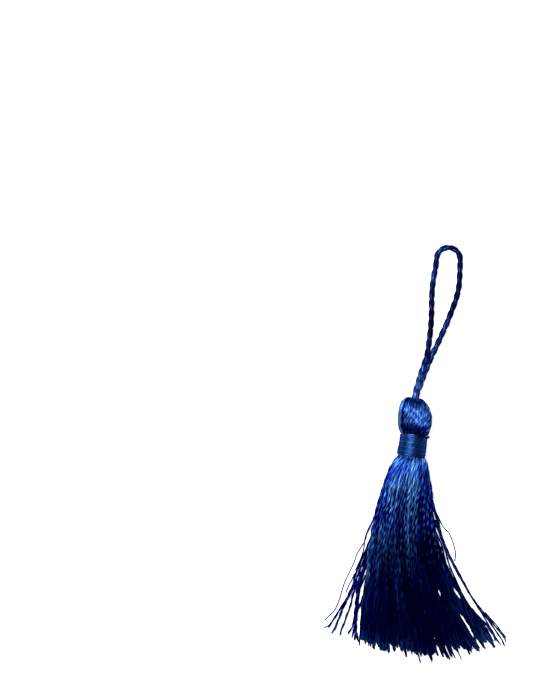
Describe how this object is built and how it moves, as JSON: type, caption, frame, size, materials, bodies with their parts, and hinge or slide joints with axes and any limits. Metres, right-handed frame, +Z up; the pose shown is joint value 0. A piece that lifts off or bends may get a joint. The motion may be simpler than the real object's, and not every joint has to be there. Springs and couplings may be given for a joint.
{
  "type": "tassel",
  "caption": "Silky floss tassel lying on its side, with a ribbed round head, a bound neck, a fanned skirt of loose locks and a twisted hanging loop.",
  "frame": {"origin": "middle of the flat spot under the head, on the surface that the tassel lies on", "axes": "+Y runs from the skirt to the hanging loop, +Z is up from the surface, +X is to the right seen from above with the loop at the top"},
  "size_m": [0.0548, 0.1289, 0.0105],
  "materials": {
    "floss": "royal to navy blue rayon floss, two-ply, silky with bright highlights",
    "binding_thread": "fine rayon thread wound in close turns, the floss's blue, a satin shine",
    "loop_cord": "two-ply twisted rayon cord, dark navy with blue highlights on each ply"
  },
  "bodies": {
    "root": {"yarn_bundle": "floss", "neck_binding": "binding_thread", "hanging_loop": "loop_cord"}
  },
  "joints": []
}
